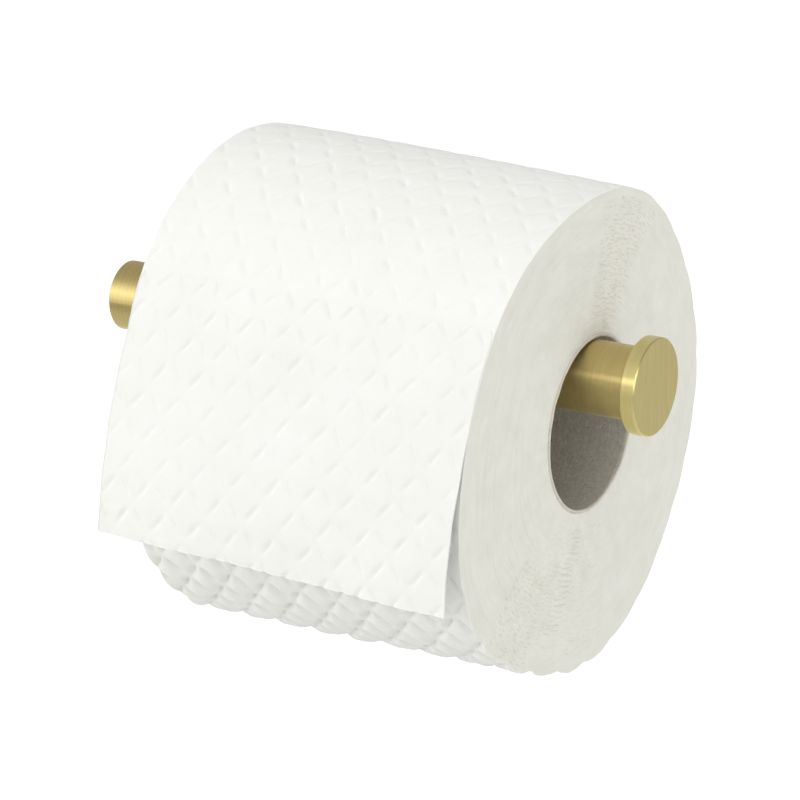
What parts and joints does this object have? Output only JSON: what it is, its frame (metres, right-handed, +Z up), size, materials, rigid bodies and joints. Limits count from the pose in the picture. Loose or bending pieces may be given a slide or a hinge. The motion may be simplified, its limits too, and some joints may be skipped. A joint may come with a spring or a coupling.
{
  "type": "toilet paper holder",
  "caption": "Wall-mounted round brass bar on a hidden post, with a wide end cap, carrying a quilted toilet roll whose loose end pulls forwards and down.",
  "frame": {"origin": "centre of the wall bracket's back face, on the wall plane and on the post's axis", "axes": "+X along the bar towards its capped free end, +Y into the wall, +Z up"},
  "size_m": [0.1552, 0.1792, 0.1204],
  "materials": {
    "brass": "satin",
    "plain_brass": "satin",
    "zinc_steel": "satin",
    "black_steel": "satin",
    "nylon": "matte",
    "cardboard": "matte",
    "tissue": "matte"
  },
  "bodies": {
    "holder": {"bar_tube": "brass", "bar_end_plug": "brass", "cross_plug": "plain_brass", "end_cap": "brass", "end_cap_insert": "plain_brass", "end_cap_stud": "zinc_steel", "post": "brass", "rosette": "brass", "spring_washer": "zinc_steel", "tie_bolt": "zinc_steel", "grub_screw": "black_steel", "wall_bracket": "zinc_steel", "wall_screws": "zinc_steel", "wall_plugs": "nylon"},
    "roll": {"cardboard_core": "cardboard", "paper_roll": "tissue"},
    "sheet": {"loose_sheet": "tissue"}
  },
  "joints": [
    {"name": "roll_spin", "type": "hinge", "parent": "holder", "child": "roll", "pos_m": [0.0653, -0.075, -0.0119], "axis": [1, 0, 0], "range_deg": [0, 57]},
    {"name": "sheet_pull", "type": "slide", "parent": "holder", "child": "sheet", "axis": [0, -0.284, -0.9588], "range_m": [0, 0.06]}
  ],
  "couplings": [
    {"joint": "sheet_pull", "follows": "roll_spin", "m_per_rad": 0.06025}
  ]
}
